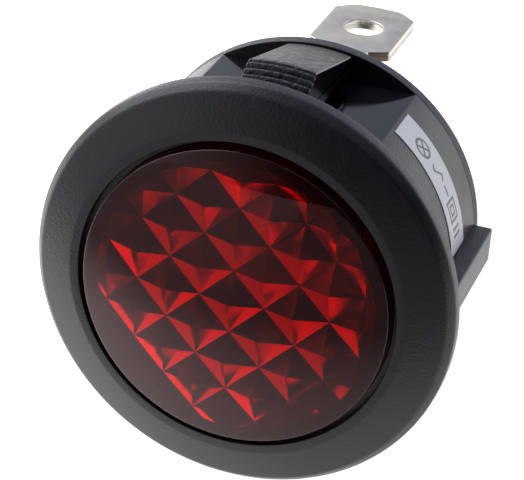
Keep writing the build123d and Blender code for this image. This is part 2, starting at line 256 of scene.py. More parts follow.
def rounded(corners):
    """A closed outline with an arc at each (a, b, radius) corner, a point every CORNER_STEP."""
    points = []
    for place, (a, b, radius) in enumerate(corners):
        here = Vector((a, b))
        if not radius:
            points.append(here)
            continue
        back = (Vector(corners[place - 1][:2]) - here).normalized()
        ahead = (Vector(corners[(place + 1) % len(corners)][:2]) - here).normalized()
        half = back.angle(ahead) / 2
        centre = here + (back + ahead).normalized() * radius / math.sin(half)
        first = here + back * radius / math.tan(half) - centre
        last = here + ahead * radius / math.tan(half) - centre
        sweep = first.angle_signed(last)
        count = max(2, math.ceil(abs(math.degrees(sweep)) / CORNER_STEP))
        for index in range(count + 1):
            angle = -sweep * index / count
            cosine, sine = math.cos(angle), math.sin(angle)
            spun = (first.x * cosine - first.y * sine, first.x * sine + first.y * cosine)
            points.append(centre + Vector(spun))
    return points


def turned(form, outline):
    """Adds a ring to form, turned about the Y axis from a closed (radius, y) outline."""
    rings = []
    for index in range(TURN_STEPS):
        angle = 2 * math.pi * index / TURN_STEPS
        across, up = math.cos(angle), math.sin(angle)
        rings.append([form.verts.new((r * across, y, r * up)) for r, y in outline])
    for index, ring in enumerate(rings):
        following = rings[(index + 1) % TURN_STEPS]
        for place in range(len(ring)):
            beside = (place + 1) % len(ring)
            form.faces.new((ring[place], ring[beside], following[beside], following[place]))


def prism(form, outline, start, end, axis=1):
    """Adds a bar to form: a closed outline run along X, Y or Z, which are axis 0, 1 or 2."""
    ends = []
    for along in (start, end):
        corners = [[a, b] for a, b in outline]
        for corner in corners:
            corner.insert(axis, along)
        ends.append([form.verts.new(corner) for corner in corners])
    front, rear = ends
    form.faces.new(front)
    form.faces.new(rear[::-1])
    for place in range(len(front)):
        beside = (place + 1) % len(front)
        form.faces.new((front[beside], front[place], rear[place], rear[beside]))


def piece(name, form, body, nodes, material, smooth=30):
    """Makes form, in millimetres, a piece that rides on body and stands for nodes."""
    bmesh.ops.recalc_face_normals(form, faces=form.faces)
    bmesh.ops.scale(form, vec=(MM, MM, MM), verts=form.verts)
    mesh = bpy.data.meshes.new(name)
    form.to_mesh(mesh)
    form.free()
    mesh.shade_smooth()
    mesh.set_sharp_from_angle(angle=math.radians(smooth))
    made = bpy.data.objects.new(name, mesh)
    bpy.context.scene.collection.objects.link(made)
    mesh.materials.append(material)
    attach(made, body)
    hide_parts(*nodes)
    return made


def cut(target, form):
    """Takes form, in millimetres, out of target for good."""
    bmesh.ops.recalc_face_normals(form, faces=form.faces)
    bmesh.ops.scale(form, vec=(MM, MM, MM), verts=form.verts)
    mesh = bpy.data.meshes.new("cutter")
    form.to_mesh(mesh)
    form.free()
    cutter = bpy.data.objects.new("cutter", mesh)
    bpy.context.scene.collection.objects.link(cutter)
    change = target.modifiers.new("cut", "BOOLEAN")
    change.operation = "DIFFERENCE"
    change.solver = "EXACT"
    change.object = cutter
    seen = target.evaluated_get(bpy.context.evaluated_depsgraph_get())
    result = bpy.data.meshes.new_from_object(seen)
    target.modifiers.remove(change)
    bpy.data.objects.remove(cutter)
    target.data = result


def finish_named(name):
    """A new material: the material itself, its shader's sockets and its node maker."""
    material = bpy.data.materials.new(name)
    material.use_nodes = True
    tree = material.node_tree
    return material, tree.nodes["Principled BSDF"].inputs, Wire(tree)


def millimetres(nodes):
    """The place on the piece, in millimetres, as a vector."""
    place = nodes.make("TexCoord", {}, {}, out="Object")
    return nodes.make("VectorMath", {"operation": "SCALE"}, {0: place, "Scale": 1 / MM})


def grain(nodes, place, scale, detail=2.0):
    """Even noise from 0 to 1, with scale in cycles per millimetre."""
    return nodes.make("TexNoise", {}, {"Vector": place, "Scale": scale, "Detail": detail})


def relief(nodes, height, strength, distance):
    """The normal of a surface with this height, distance millimetres deep."""
    sockets = {"Strength": strength, "Distance": distance * MM, "Height": height}
    return nodes.make("Bump", {}, sockets)


def distance_from_axis(nodes, first, second):
    """How far a point is from the axis, from its two distances across it."""
    return nodes.sum("POWER", first * first + second * second, 0.5)


def join(nodes, sockets, wires):
    """Links each wire to the shader's socket of that name."""
    for name, wire in wires.items():
        nodes.tree.links.new(wire.socket, sockets[name])


def black_nylon():
    """Grained black nylon that is polished on the barrel's flats, with a speckled painted highlight
    on the rear disc's rim.
    """
    material, sockets, nodes = finish_named("black_nylon")
    place = millimetres(nodes)
    across, along, up = split(nodes, place)
    height = abs(up)
    on_flat = rise(nodes, along, 0.02, 0.1)
    on_flat = on_flat * rise(nodes, height, FLAT_Z - 0.06, FLAT_Z - 0.02)
    on_flat = on_flat * (1 - rise(nodes, height, FLAT_Z + 0.02, FLAT_Z + 0.06))
    pits = grain(nodes, place, 5.0, 3.0)
    mottle = grain(nodes, place, 0.9, 5.0)
    wipes = grain(nodes, place, 0.25)
    roughness = 0.25 + 0.12 * mottle + 0.06 * wipes
    reach = distance_from_axis(nodes, across, up)
    # A speckled pale band round the rear disc's rim is a painted highlight: the rim catching light
    # from behind. The rim is rougher there too.
    rim_highlight = rise(nodes, reach, BARREL_R - 0.1, BARREL_R)
    rim_highlight = rim_highlight * rise(nodes, along, DISC_FRONT_Y, DISC_FRONT_Y + 0.3)
    rim_highlight = rim_highlight * (0.35 + 0.65 * rise(nodes, pits, 0.42, 0.6))
    roughness = roughness * (1 - 0.66 * on_flat) + 0.2 * rim_highlight
    colour = blend(nodes, mottle, NYLON_DARK, NYLON_PALE)
    colour = blend(nodes, rim_highlight, colour, NYLON_RIM_HIGHLIGHT)
    texture = relief(nodes, pits * (1 - on_flat), 0.7, 0.032)
    sockets["IOR"].default_value = NYLON_IOR
    join(nodes, sockets, {"Base Color": colour, "Roughness": roughness, "Normal": texture})
    return material


nylon = black_nylon()
moulding = bmesh.new()
bezel = [
    (CAVITY_R, -0.02, 0),
    (CAVITY_R, SEAT_Y, 0),
    (SEAT_R, SEAT_Y, 0),
    (SEAT_R, SEAT_FRONT_Y, 0),
    (BORE_R, SEAT_FRONT_Y, 0),
    (BORE_R, -BEZEL_HEIGHT, 0.08),
    (RING_R, -BEZEL_HEIGHT, 0.5),
    (BEZEL_R - 0.5, -RIM_HEIGHT - 0.6, 0.6),
    (BEZEL_R, -RIM_HEIGHT, 0.5),
    (BEZEL_R, 0, 0.12),
]
turned(moulding, rounded(bezel))
end_disc = [
    (0, DISC_FRONT_Y, 0),
    (BARREL_R + 0.01, DISC_FRONT_Y, 0.03),
    (DISC_R, BARREL_REAR_Y - 0.2, 0.3),
    (DISC_R, BARREL_REAR_Y, 0.15),
    (0, BARREL_REAR_Y, 0),
]
turned(moulding, rounded(end_disc))
bmesh.ops.remove_doubles(moulding, verts=moulding.verts, dist=1e-5)
for side in (-1, 1):
    inner_z, outer_z = sorted((side * COLLAR_BOTTOM_Z, side * FLAT_Z))
    collar = [(-COLLAR_HALF, inner_z), (COLLAR_HALF, inner_z)]
    collar += [(COLLAR_HALF, outer_z), (-COLLAR_HALF, outer_z)]
    collar = rounded([(x, z, 0.2) for x, z in collar])
    prism(moulding, collar, BARREL_REAR_Y - 0.1, COLLAR_REAR_Y)
piece("housing_moulding", moulding, "body", ["housing"], nylon)


def barrel_outline(radius, flat_z, rib_x, edge):
    """The barrel's section: an arc to each side between the flats, with the rib on it."""
    outline = []
    flat_angle = math.degrees(math.asin(flat_z / radius))
    rib_angle = math.degrees(math.asin(RIB_HALF / radius)) if rib_x else 0
    for side in (1, -1):
        quarter = []
        for index in range(BARREL_ARC_STEPS + 1):
            share = index / BARREL_ARC_STEPS
            angle = math.radians(flat_angle + (rib_angle - flat_angle) * share)
            radius_here = edge if index == 0 else 0
            quarter.append((radius * math.cos(angle), radius * math.sin(angle), radius_here))
        if rib_x:
            quarter.append((rib_x, RIB_HALF, RIB_ROUND))
        lower = [(x, -z, r) for x, z, r in reversed(quarter)]
        if not rib_x:
            lower = lower[1:]
        half = quarter + lower
        if side < 0:
            half = [(-x, z, r) for x, z, r in reversed(half)]
        outline += half
    return outline


shell = bmesh.new()
outside = barrel_outline(BARREL_R, FLAT_Z, RIB_X, FLAT_EDGE_ROUND)
prism(shell, rounded(outside), -0.3, DISC_FRONT_Y + 0.02)
barrel = piece("housing_barrel", shell, "body", ["housing"], nylon)
hollow = bmesh.new()
prism(hollow, rounded(barrel_outline(CAVITY_R, CAVITY_Z, 0, 0.3)), -1, WALL_FRONT_Y)
cut(barrel, hollow)
troughs = bmesh.new()
for side in (-1, 1):
    outer = POCKET_HALF + POCKET_WALL
    low, high = sorted((side * (POCKET_FLOOR_Z - POCKET_WALL), side * (CAVITY_Z + 0.2)))
    section = [(-outer, low), (outer, low), (outer, high), (-outer, high)]
    prism(troughs, section, POCKET_FRONT_Y - POCKET_WALL, POCKET_REAR_Y + POCKET_WALL)
trough_piece = piece("housing_pockets", troughs, "body", ["housing"], nylon)
pocket = [(-POCKET_HALF, POCKET_FRONT_Y), (POCKET_HALF, POCKET_FRONT_Y)]
pocket += [(POCKET_HALF, POCKET_REAR_Y), (-POCKET_HALF, POCKET_REAR_Y)]
pocket = rounded([(x, y, 0.25) for x, y in pocket])
for side in (-1, 1):
    for target in (barrel, trough_piece):
        opening = bmesh.new()
        prism(opening, pocket, side * POCKET_FLOOR_Z, side * (BARREL_R + 1), axis=2)
        cut(target, opening)

# ---- Lens: ruby polystyrene -----------------------------------------------------------------
# A domed cup of clear red plastic, polished in front. Its inner face is all square pyramid
# pits, corner up, which throw the light back, and its skirt snaps into the bezel's bore.

LENS_R = 10.9
LENS_EDGE_Y = -2.85
LENS_DOME = 1.6
LENS_EDGE_ROUND = 0.18
LENS_SKIRT_R = 9.85
LENS_FACE_Y = -2.15
PIT_PITCH = 3.17
PIT_DEPTH = 1.12
PIT_WALL_LEFT = 0.3
DOME_R = (LENS_R**2 + LENS_DOME**2) / (2 * LENS_DOME)
DOME_CENTRE_Y = LENS_EDGE_Y - LENS_DOME + DOME_R
SKIRT_SIDES = 128
DOME_STEPS = 40
RUBY_IOR = 1.59
RUBY_GLOSS = (0.70, 0.47, 0.49, 1)
RUBY_DEEP = (0.56, 0.0002, 0.001, 1)
RUBY_PALE = (0.66, 0.0004, 0.002, 1)


def dome_y(radius):
    """How far forward the dome is at this radius."""
    return DOME_CENTRE_Y - math.sqrt(DOME_R**2 - radius**2)


def pit_corner(column, row, raised):
    """A base corner of the pits, or a pit's point, on the half-diagonal grid."""
    step = PIT_PITCH / math.sqrt(2)
    x, z = column * step, row * step
    y = LENS_FACE_Y
    if raised:
        y = max(y - PIT_DEPTH, dome_y(min(math.hypot(x, z), LENS_R)) + PIT_WALL_LEFT)
    return (x, y, z)


def pitted_face(form):
    """Adds the inner face: four planes to each pit, trimmed to the skirt, and the skirt's wall."""
    reach = math.ceil(LENS_SKIRT_R * math.sqrt(2) / PIT_PITCH) + 1
    grid = range(-reach, reach + 1)
    corners = {}
    for column in grid:
        for row in grid:
            raised = (column + row) % 2 == 0
            corners[column, row] = form.verts.new(pit_corner(column, row, raised))
    for column in grid:
        for row in grid:
            if (column + row) % 2 or max(abs(column), abs(row)) == reach:
                continue
            around = [(column + 1, row), (column, row + 1), (column - 1, row), (column, row - 1)]
            for place in range(4):
                pair = (corners[around[place]], corners[around[(place + 1) % 4]])
                form.faces.new((corners[column, row], *pair))
    loose = [vert for vert in form.verts if not vert.link_faces]
    bmesh.ops.delete(form, geom=loose, context="VERTS")
    for side in range(SKIRT_SIDES):
        angle = 2 * math.pi * side / SKIRT_SIDES
        outward = Vector((math.cos(angle), 0, math.sin(angle)))
        everything = form.verts[:] + form.edges[:] + form.faces[:]
        plane = {"plane_co": outward * LENS_SKIRT_R, "plane_no": outward}
        bmesh.ops.bisect_plane(form, geom=everything, dist=1e-6, clear_outer=True, **plane)
    bmesh.ops.remove_doubles(form, verts=form.verts, dist=0.004)
    rim = [edge for edge in form.edges if edge.is_boundary]
    wall = bmesh.ops.extrude_edge_only(form, edges=rim)["geom"]
    for vert in wall:
        if isinstance(vert, bmesh.types.BMVert):
            vert.co.y = SEAT_Y


def lens_outside(form):
    """Adds the polished outside: dome, rounded edge and skirt, down to the seat."""
    outline = []
    for index in range(DOME_STEPS):
        radius = (LENS_R - 0.35) * index / (DOME_STEPS - 1)
        outline.append((radius, dome_y(radius)))
    edge = [(LENS_R - 0.5, dome_y(LENS_R - 0.5), 0), (LENS_R, LENS_EDGE_Y, LENS_EDGE_ROUND)]
    edge = rounded([*edge, (LENS_R, SEAT_Y, 0), (LENS_R - 0.5, SEAT_Y, 0)])
    outline += [(point.x, point.y) for point in edge[1:-1]]
    rings = []
    for index in range(TURN_STEPS):
        angle = 2 * math.pi * index / TURN_STEPS
        across, up = math.cos(angle), math.sin(angle)
        rings.append([form.verts.new((r * across, y, r * up)) for r, y in outline[1:]])
    centre = form.verts.new((0, outline[0][1], 0))
    for index, ring in enumerate(rings):
        following = rings[(index + 1) % TURN_STEPS]
        form.faces.new((centre, ring[0], following[0]))
        for place in range(len(ring) - 1):
            form.faces.new((ring[place], ring[place + 1], following[place + 1], following[place]))


def ruby_plastic():
    """Clear red plastic with faint moulding haze, polished in front and satin inside."""
    material, sockets, nodes = finish_named("ruby_plastic")
    place = millimetres(nodes)
    across, along, up = split(nodes, place)
    haze = grain(nodes, place, 0.6, 3.0)
    dome = nodes.sum("POWER", DOME_R**2 - (across * across + up * up), 0.5)
    inner = rise(nodes, along - (DOME_CENTRE_Y - dome), 0.08, 0.2)
    roughness = 0.012 + 0.012 * haze + inner * (0.08 + 0.10 * haze)
    colour = blend(nodes, haze, RUBY_DEEP, RUBY_PALE)
    sockets["Transmission Weight"].default_value = 0.98
    sockets["Specular Tint"].default_value = RUBY_GLOSS
    sockets["IOR"].default_value = RUBY_IOR
    join(nodes, sockets, {"Base Color": colour, "Roughness": roughness})
    return material


cup = bmesh.new()
pitted_face(cup)
lens_outside(cup)
seat = [edge for edge in cup.edges if edge.is_boundary]
bmesh.ops.triangle_fill(cup, edges=seat, use_beauty=True, normal=(0, 1, 0))
piece("lens_ruby", cup, "body", ["lens"], ruby_plastic(), smooth=20)

# ---- Snap arms: two toothed springs ---------------------------------------------------------
# Each arm is a ramp that rises from its root at the rear disc and ends in a curved, toothed
# face that grips the edge of the panel. The top follows a cone about the lamp's axis.

ARM_HALF = 2.4
ARM_FRONT_Y = 0.6
ARM_PEAK_Y = 3.85
ARM_PEAK_R = 14.7
ARM_FRONT_R = 12.85
ARM_ROOT_R = 12.6
ARM_UNDERSIDE_Z = 11.3
ARM_HINGE_Y = 12.35
ARM_TEETH = 7
TOOTH_DEPTH = 0.3
TOOTH_STEPS = 12
RIDGE_SHARE = 0.62
ARM_EDGE = 0.14
ARM_STRIPS = 16
ARM_EDGE_STEPS = 4
ARM_RAMP_STEPS = 12
ARM_ROOT_STEPS = 8
ARM_ROOT_ROUND = (ARM_ROOT_R - ARM_UNDERSIDE_Z) / 2
BROW_Y = ARM_PEAK_Y + 0.24
SIDE_BORDER = 0.012
DRAWN_STRETCH = (1, 0.45, 1)
ARM_DARK = (0.004, 0.004, 0.005, 1)
ARM_PALE = (0.030, 0.030, 0.033, 1)


def arm_top():
    """(y, radius) points of an arm's upper side, from the front, over the teeth, to the root."""
    points = []
    for tooth in range(ARM_TEETH):
        for index in range(TOOTH_STEPS):
            share = index / TOOTH_STEPS
            along = (tooth + share) / ARM_TEETH
            y = ARM_FRONT_Y + (ARM_PEAK_Y - ARM_FRONT_Y) * along
            bulge = math.sqrt(max(0, 1 - ((2 * share - 1) / RIDGE_SHARE) ** 2))
            line = ARM_FRONT_R + (ARM_PEAK_R - ARM_FRONT_R) * along
            points.append((y, line - TOOTH_DEPTH * (1 - bulge)))
    points.append((ARM_PEAK_Y, ARM_PEAK_R - TOOTH_DEPTH))
    points.append((ARM_PEAK_Y + 0.10, ARM_PEAK_R - 0.07))
    points.append((BROW_Y, ARM_PEAK_R - 0.06))
    ramp = (ARM_ROOT_R - ARM_PEAK_R) / (ARM_HINGE_Y - ARM_PEAK_Y)
    for index in range(1, ARM_RAMP_STEPS + 1):
        y = BROW_Y + (ARM_HINGE_Y - BROW_Y) * index / ARM_RAMP_STEPS
        points.append((y, ARM_PEAK_R + ramp * (y - ARM_PEAK_Y)))
    middle = ARM_UNDERSIDE_Z + ARM_ROOT_ROUND
    for index in range(1, ARM_ROOT_STEPS):
        angle = math.pi / 2 * index / ARM_ROOT_STEPS
        y = ARM_HINGE_Y + ARM_ROOT_ROUND * math.sin(angle)
        points.append((y, middle + ARM_ROOT_ROUND * math.cos(angle)))
    return points


def arm_form(side):
    """One arm as a closed form; side is 1 for the upper arm and -1 for the lower."""
    form = bmesh.new()
    inner = ARM_HALF - ARM_EDGE
    columns = [-inner + 2 * inner * index / ARM_STRIPS for index in range(ARM_STRIPS + 1)]
    drops = [0.0] * len(columns)
    for index in range(1, ARM_EDGE_STEPS + 1):
        angle = math.pi / 2 * index / ARM_EDGE_STEPS
        out = inner + ARM_EDGE * math.sin(angle)
        drop = ARM_EDGE * (1 - math.cos(angle))
        columns = [-out, *columns, out]
        drops = [drop, *drops, drop]
    strips = []
    for x, drop in zip(columns, drops):
        strip = []
        for y, radius in arm_top():
            z = math.sqrt(radius**2 - x**2) - drop
            strip.append(form.verts.new((x, y, side * z)))
        for index in range(ARM_ROOT_STEPS):
            angle = math.pi / 2 * index / ARM_ROOT_STEPS
            y = ARM_HINGE_Y + ARM_ROOT_ROUND * math.cos(angle)
            z = ARM_UNDERSIDE_Z + ARM_ROOT_ROUND * (1 - math.sin(angle))
            strip.append(form.verts.new((x, y, side * z)))
        strip.append(form.verts.new((x, ARM_HINGE_Y, side * ARM_UNDERSIDE_Z)))
        strip.append(form.verts.new((x, ARM_FRONT_Y, side * ARM_UNDERSIDE_Z)))
        strips.append(strip)
    for left, right in zip(strips, strips[1:]):
        for place in range(len(left)):
            beside = (place + 1) % len(left)
            form.faces.new((left[place], left[beside], right[beside], right[place]))
    sides = [form.faces.new(strips[0]), form.faces.new(strips[-1][::-1])]
    # A narrow border keeps the shading of each flat side even.
    form.normal_update()
    bmesh.ops.inset_individual(form, faces=sides, thickness=SIDE_BORDER, use_even_offset=False)
    return form


def scaled(nodes, vector, factors):
    """A vector with each of its parts multiplied by its own factor."""
    return nodes.make("VectorMath", {"operation": "MULTIPLY"}, {0: vector, 1: factors})


def worn_nylon():
    """The arms' black nylon: paler, with a coarser grain and painted glints, where the mould is not
    polished.
    """
    material, sockets, nodes = finish_named("worn_nylon")
    place = millimetres(nodes)
    facing = nodes.make("NewGeometry", {}, {}, out="True Normal")
    outer = 1 - rise(nodes, abs(split(nodes, facing)[0]), 0.35, 0.75)
    drawn = scaled(nodes, place, DRAWN_STRETCH)
    pits = grain(nodes, drawn, 2.6, 5.0)
    mottle = grain(nodes, drawn, 1.7, 5.0)
    # The pale specks on the grained faces are painted glints, highlights painted into the colour.
    # They also raise small bumps.
    glint_specks = rise(nodes, grain(nodes, drawn, 3.0, 3.0), 0.60, 0.68) * outer
    pale = outer * (0.1 + 0.8 * mottle) + 0.8 * glint_specks
    colour = blend(nodes, pale, ARM_DARK, ARM_PALE)
    roughness = 0.13 + outer * (0.19 + 0.25 * mottle)
    texture = relief(nodes, outer * (pits + 0.2 * glint_specks), 0.8, 0.2)
    sockets["IOR"].default_value = NYLON_IOR
    join(nodes, sockets, {"Base Color": colour, "Roughness": roughness, "Normal": texture})
    return material


arm_nylon = worn_nylon()
for side, name in ((1, "top"), (-1, "bottom")):
    node, body = "snap_arm_" + name, "arm_" + name
    piece("toothed_arm_" + name, arm_form(side), body, [node], arm_nylon)

# ---- Terminals: nickel-plated brass blades --------------------------------------------------
# Each is stamped from 0.8 mm strip: a 6.3 mm blade with a 3 mm hole, a neck through the rear
# wall, and a foot bent inwards. The cut edges show bare brass and the shear's smear. Faces
# that look forward, on the neck's shoulder and the foot, are dark brown: bare brass with painted
# shade.

BLADE_HALF = 3.15
BLADE_TOP_Z = 9.8
BLADE_THICKNESS = 0.8
BLADE_FRONT_Y = 20.6
BLADE_END_Y = 28.5
BLADE_CORNER = 1.35
BLADE_CROWN = 0.16
BLADE_HOLE_Y = 24.15
BLADE_HOLE_R = 1.5
NECK_HALF = 1.6
SHOULDER = 0.9
FOOT_Y = 11.6
FOOT_END_Z = 3.6
STAMPED_EDGE = 0.07
SHADED_BRASS_Y = 22.0
ROLLING_STRETCH = (9, 0.5, 9)
HOLE_STEPS = 64
PLATE_DULL = (0.58, 0.54, 0.475, 1)
PLATE_BRIGHT = (0.70, 0.66, 0.585, 1)
SMEAR_DULL = (0.70, 0.66, 0.58, 1)
SMEAR_BRIGHT = (0.92, 0.90, 0.86, 1)
TORN_BRASS = (0.42, 0.37, 0.29, 1)
SHADED_BRASS = (0.20, 0.13, 0.09, 1)


def stamped_nickel():
    """Satin nickel plate, rolled lengthwise; bare sheared brass on the cut edges."""
    material, sockets, nodes = finish_named("stamped_nickel")
    place = millimetres(nodes)
    _, along, up = split(nodes, place)
    depth = BLADE_TOP_Z - abs(up)
    facing = nodes.make("NewGeometry", {}, {}, out="True Normal")
    _, lengthwise, upright = split(nodes, facing)
    on_edge = 1 - rise(nodes, abs(upright), 0.35, 0.8)
    # Faces that look forward, on the neck's shoulder and the foot, get a dark brown: bare brass,
    # darkened with painted shade.
    brass_and_shade = rise(nodes, 0 - lengthwise, 0.6, 0.9) * rise(nodes, SHADED_BRASS_Y - along, 0.0, 0.5)
    torn = on_edge * rise(nodes, depth + 0.25 * grain(nodes, place, 1.7), 0.42, 0.5)
    stretched = scaled(nodes, place, ROLLING_STRETCH)
    rolling = nodes.make("TexNoise", {}, {"Vector": stretched, "Scale": 1.0, "Detail": 3.0})
    stain = rise(nodes, grain(nodes, place, 1.3, 6.0), 0.25, 0.75)
    stain = 0.6 * stain + 0.4 * grain(nodes, place, 4.5, 3.0)
    plate = blend(nodes, stain, PLATE_DULL, PLATE_BRIGHT)
    smear = blend(nodes, rolling, SMEAR_DULL, SMEAR_BRIGHT)
    colour = blend(nodes, on_edge, plate, smear)
    colour = blend(nodes, torn * 0.45, colour, TORN_BRASS)
    colour = blend(nodes, brass_and_shade * 0.85, colour, SHADED_BRASS)
    height = rolling * 0.6 + grain(nodes, place, 12.0) * (0.5 + torn)
    texture = relief(nodes, height, 0.25, 0.03)
    sockets["Metallic"].default_value = 1.0
    roughness = 0.30 + 0.06 * stain - 0.08 * on_edge + 0.12 * torn
    join(nodes, sockets, {"Base Color": colour, "Roughness": roughness, "Normal": texture})
    return material


def stamping(points, hole):
    """A flat stamping in its own plane, with rounded edges, as a mesh with its middle at zero."""
    curve = bpy.data.curves.new("stamping", "CURVE")
    curve.dimensions = "2D"
    curve.fill_mode = "BOTH"
    curve.extrude = (BLADE_THICKNESS / 2 - STAMPED_EDGE) * MM
    curve.bevel_depth = STAMPED_EDGE * MM
    curve.bevel_resolution = 2
    curve.offset = -STAMPED_EDGE * MM
    for outline in filter(None, (points, hole)):
        spline = curve.splines.new("POLY")
        spline.points.add(len(outline) - 1)
        for point, (a, b) in zip(spline.points, outline):
            point.co = (a * MM, b * MM, 0, 1)
        spline.use_cyclic_u = True
    holder = bpy.data.objects.new("stamping", curve)
    bpy.context.scene.collection.objects.link(holder)
    seen = holder.evaluated_get(bpy.context.evaluated_depsgraph_get())
    mesh = bpy.data.meshes.new_from_object(seen)
    bpy.data.objects.remove(holder)
    return mesh


def terminal_form(side):
    """Blade and neck as one stamping, and the foot as another, in millimetres."""
    right = [
        (NECK_HALF, FOOT_Y, 0),
        (NECK_HALF, BLADE_FRONT_Y - SHOULDER, 0.3),
        (BLADE_HALF, BLADE_FRONT_Y, 0.3),
        (BLADE_HALF, BLADE_END_Y - BLADE_CORNER, 0.6),
        (BLADE_HALF - BLADE_CORNER, BLADE_END_Y - BLADE_CROWN, 1.0),
    ]
    left = [(-x, y, r) for x, y, r in reversed(right)]
    outline = rounded([*right, (0, BLADE_END_Y, 3.0), *left])
    hole = []
    for index in range(HOLE_STEPS):
        angle = -2 * math.pi * index / HOLE_STEPS
        hole.append((BLADE_HOLE_R * math.cos(angle), BLADE_HOLE_Y + BLADE_HOLE_R * math.sin(angle)))
    blade = stamping(outline, hole)
    foot_top = BLADE_TOP_Z - 0.01
    foot = [(NECK_HALF, foot_top), (-NECK_HALF, foot_top)]
    foot += [(-NECK_HALF, FOOT_END_Z), (NECK_HALF, FOOT_END_Z)]
    foot = stamping(rounded([(x, z, 0.3) for x, z in foot]), None)
    middle = Matrix.Translation((0, 0, (BLADE_TOP_Z - BLADE_THICKNESS / 2) * MM))
    blade.transform(middle)
    upright = Matrix.Rotation(math.radians(90), 4, "X")
    foot.transform(Matrix.Translation((0, (FOOT_Y + BLADE_THICKNESS / 2) * MM, 0)) @ upright)
    form = bmesh.new()
    form.from_mesh(blade)
    form.from_mesh(foot)
    bmesh.ops.remove_doubles(form, verts=form.verts, dist=1e-7)
    bmesh.ops.scale(form, vec=(1 / MM, 1 / MM, side / MM), verts=form.verts)
    return form


nickel = stamped_nickel()
for side, name in ((1, "top"), (-1, "bottom")):
    node = "terminal_" + name
    piece("blade_" + name, terminal_form(side), "body", [node], nickel, smooth=40)

# ---- Rating label ---------------------------------------------------------------------------
# A strip of white printed film, wrapped round the barrel between the upper flat and a rib.
# The print is plain marks: a lamp symbol, a wave for alternating current, a square in a square,
# and bars.

LABEL_FRONT_Y = 6.85
LABEL_WIDTH = 3.15
LABEL_START = 7.0
LABEL_END = 53.5
LABEL_THICKNESS = 0.05
LABEL_STEPS = 48
FILM_GREY = (0.64, 0.65, 0.66, 1)
FILM_WHITE = (0.74, 0.745, 0.76, 1)
INK = (0.10, 0.10, 0.105, 1)


def label_form():
    """The film as a thin curved sheet, a little proud of the barrel."""
    form = bmesh.new()
    low, high = BARREL_R + 0.005, BARREL_R + LABEL_THICKNESS
    front, rear = LABEL_FRONT_Y, LABEL_FRONT_Y + LABEL_WIDTH
    rows = []
    for index in range(LABEL_STEPS + 1):
        angle = math.radians(LABEL_START + (LABEL_END - LABEL_START) * index / LABEL_STEPS)
        row = []
        for radius, y in ((low, front), (high, front), (high, rear), (low, rear)):
            row.append(form.verts.new((radius * math.cos(angle), y, radius * math.sin(angle))))
        rows.append(row)
    for first, second in zip(rows, rows[1:]):
        for place in range(4):
            beside = (place + 1) % 4
            form.faces.new((first[place], first[beside], second[beside], second[place]))
    form.faces.new(rows[0][::-1])
    form.faces.new(rows[-1])
    return form


STROKE = 0.11
THICK_STROKE = 0.14
SOFT = 0.05
LAMP_AT, WAVE_AT, DASH_AT, SQUARES_AT = 2.3, 4.3, 5.75, 7.2
BARS_AT = (8.5, 9.0)
LAMP_SIGN_R = 0.72
WAVE_HEIGHT = 0.36
WAVE_TURN = 4.2
OUTER_SQUARE, INNER_SQUARE = 0.70, 0.32


def either(nodes, first, second):
    """The stronger of two marks."""
    return nodes.sum("MAXIMUM", first, second)


def inside(nodes, value, reach):
    """1 where a distance is within reach, with a soft edge."""
    return 1 - rise(nodes, value, reach - SOFT, reach + SOFT)


def bar_mark(nodes, run, side, half_run, half_side):
    """A filled bar about its own middle."""
    return inside(nodes, abs(run), half_run) * inside(nodes, abs(side), half_side)


def lamp_mark(nodes, run, side):
    """A ring with a diagonal cross: the wiring symbol for a lamp."""
    reach = distance_from_axis(nodes, run, side)
    rising = inside(nodes, abs(run - side), THICK_STROKE)
    falling = inside(nodes, abs(run + side), THICK_STROKE)
    cross = either(nodes, rising, falling) * inside(nodes, reach, LAMP_SIGN_R)
    return either(nodes, inside(nodes, abs(reach - LAMP_SIGN_R), STROKE), cross)


def wave_mark(nodes, run, side):
    """One cycle of a wave: the sign for alternating current."""
    swing = nodes.make("Math", {"operation": "SINE"}, {0: run * WAVE_TURN})
    line = inside(nodes, abs(side - WAVE_HEIGHT * swing), THICK_STROKE)
    return line * inside(nodes, abs(run), 0.72)


def box_mark(nodes, run, side):
    """A square within a square: the sign for double insulation."""
    reach = nodes.sum("MAXIMUM", abs(run), abs(side))
    outer = inside(nodes, abs(reach - OUTER_SQUARE), 0.1)
    return either(nodes, outer, inside(nodes, abs(reach - INNER_SQUARE), 0.09))


def printed_film():
    """White film with grey marks, placed by the distance round the barrel and across the film."""
    material, sockets, nodes = finish_named("printed_film")
    place = millimetres(nodes)
    across, along, up = split(nodes, place)
    angle = nodes.make("Math", {"operation": "ARCTAN2"}, {0: up, 1: across})
    run = (math.radians(LABEL_END) - angle) * BARREL_R
    side = along - (LABEL_FRONT_Y + LABEL_WIDTH / 2)
    ink = lamp_mark(nodes, run - LAMP_AT, side)
    ink = either(nodes, ink, wave_mark(nodes, run - WAVE_AT, side))
    ink = either(nodes, ink, bar_mark(nodes, run - DASH_AT, side, 0.42, STROKE))
    ink = either(nodes, ink, box_mark(nodes, run - SQUARES_AT, side))
    for bar_at in BARS_AT:
        ink = either(nodes, ink, bar_mark(nodes, run - bar_at, side, STROKE, 0.7))
    fibre = grain(nodes, place, 2.5, 3.0)
    colour = blend(nodes, ink, blend(nodes, fibre, FILM_GREY, FILM_WHITE), INK)
    join(nodes, sockets, {"Base Color": colour, "Roughness": 0.30 + 0.15 * fibre})
    return material


piece("printed_label", label_form(), "body", ["rating_label"], printed_film())

# ---- Neon lamp ------------------------------------------------------------------------------
# A small glow lamp lies across the barrel behind the lens: a soft glass tube, pinched shut at
# the end where its leads come out, with two grey nickel electrodes in it, one above the other.

